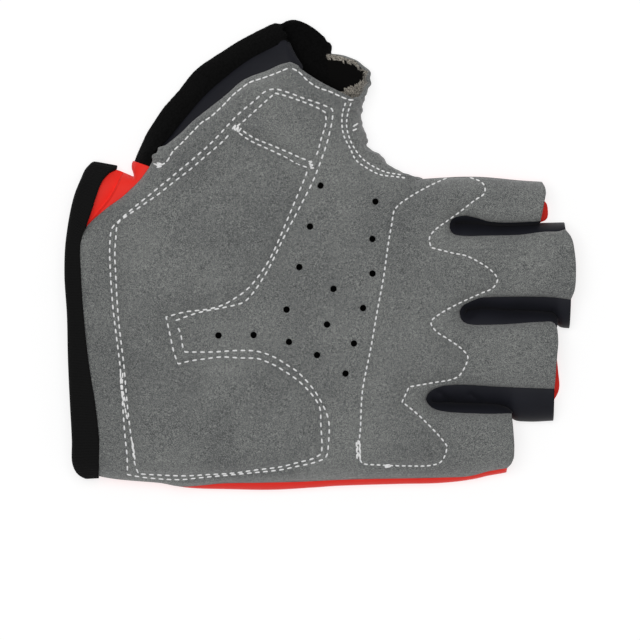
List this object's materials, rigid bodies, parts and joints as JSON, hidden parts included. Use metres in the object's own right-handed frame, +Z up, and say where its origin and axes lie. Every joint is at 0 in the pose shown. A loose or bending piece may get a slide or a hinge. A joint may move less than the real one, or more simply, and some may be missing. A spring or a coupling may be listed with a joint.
{
  "type": "cycling glove",
  "caption": "Fingerless left-hand cycling mitt lying palm up: grey suede palm with foam pads and vent holes, red stretch back, black cuff binding.",
  "frame": {"origin": "middle of the red back's flat underside, on the surface that the glove rests on", "axes": "+X from the wrist to the fingertips, +Y from the little finger to the thumb, +Z up out of the palm"},
  "size_m": [0.1716, 0.158, 0.0175],
  "materials": {
    "suede_grey": "heathered synthetic suede",
    "foam_grey": "matt closed-cell foam",
    "stretch_red": "smooth stretch knit",
    "knit_black": "matt ribbed elastic tape",
    "terry_black": "matt terry loops",
    "stretch_navy": "smooth stretch knit",
    "stretch_black": "smooth stretch knit"
  },
  "bodies": {
    "root": {"palm_panel": "suede_grey", "heel_pad": "foam_grey", "thumb_pad": "foam_grey", "knuckle_pad": "foam_grey", "back_panel": "stretch_red", "thumb_back": "terry_black", "thumb_side": "stretch_navy", "crotch_gusset": "suede_grey", "fourchette_ring_little": "stretch_black", "fourchette_middle_ring": "stretch_black", "fourchette_index_middle": "stretch_black", "cuff_binding": "knit_black"}
  },
  "joints": []
}
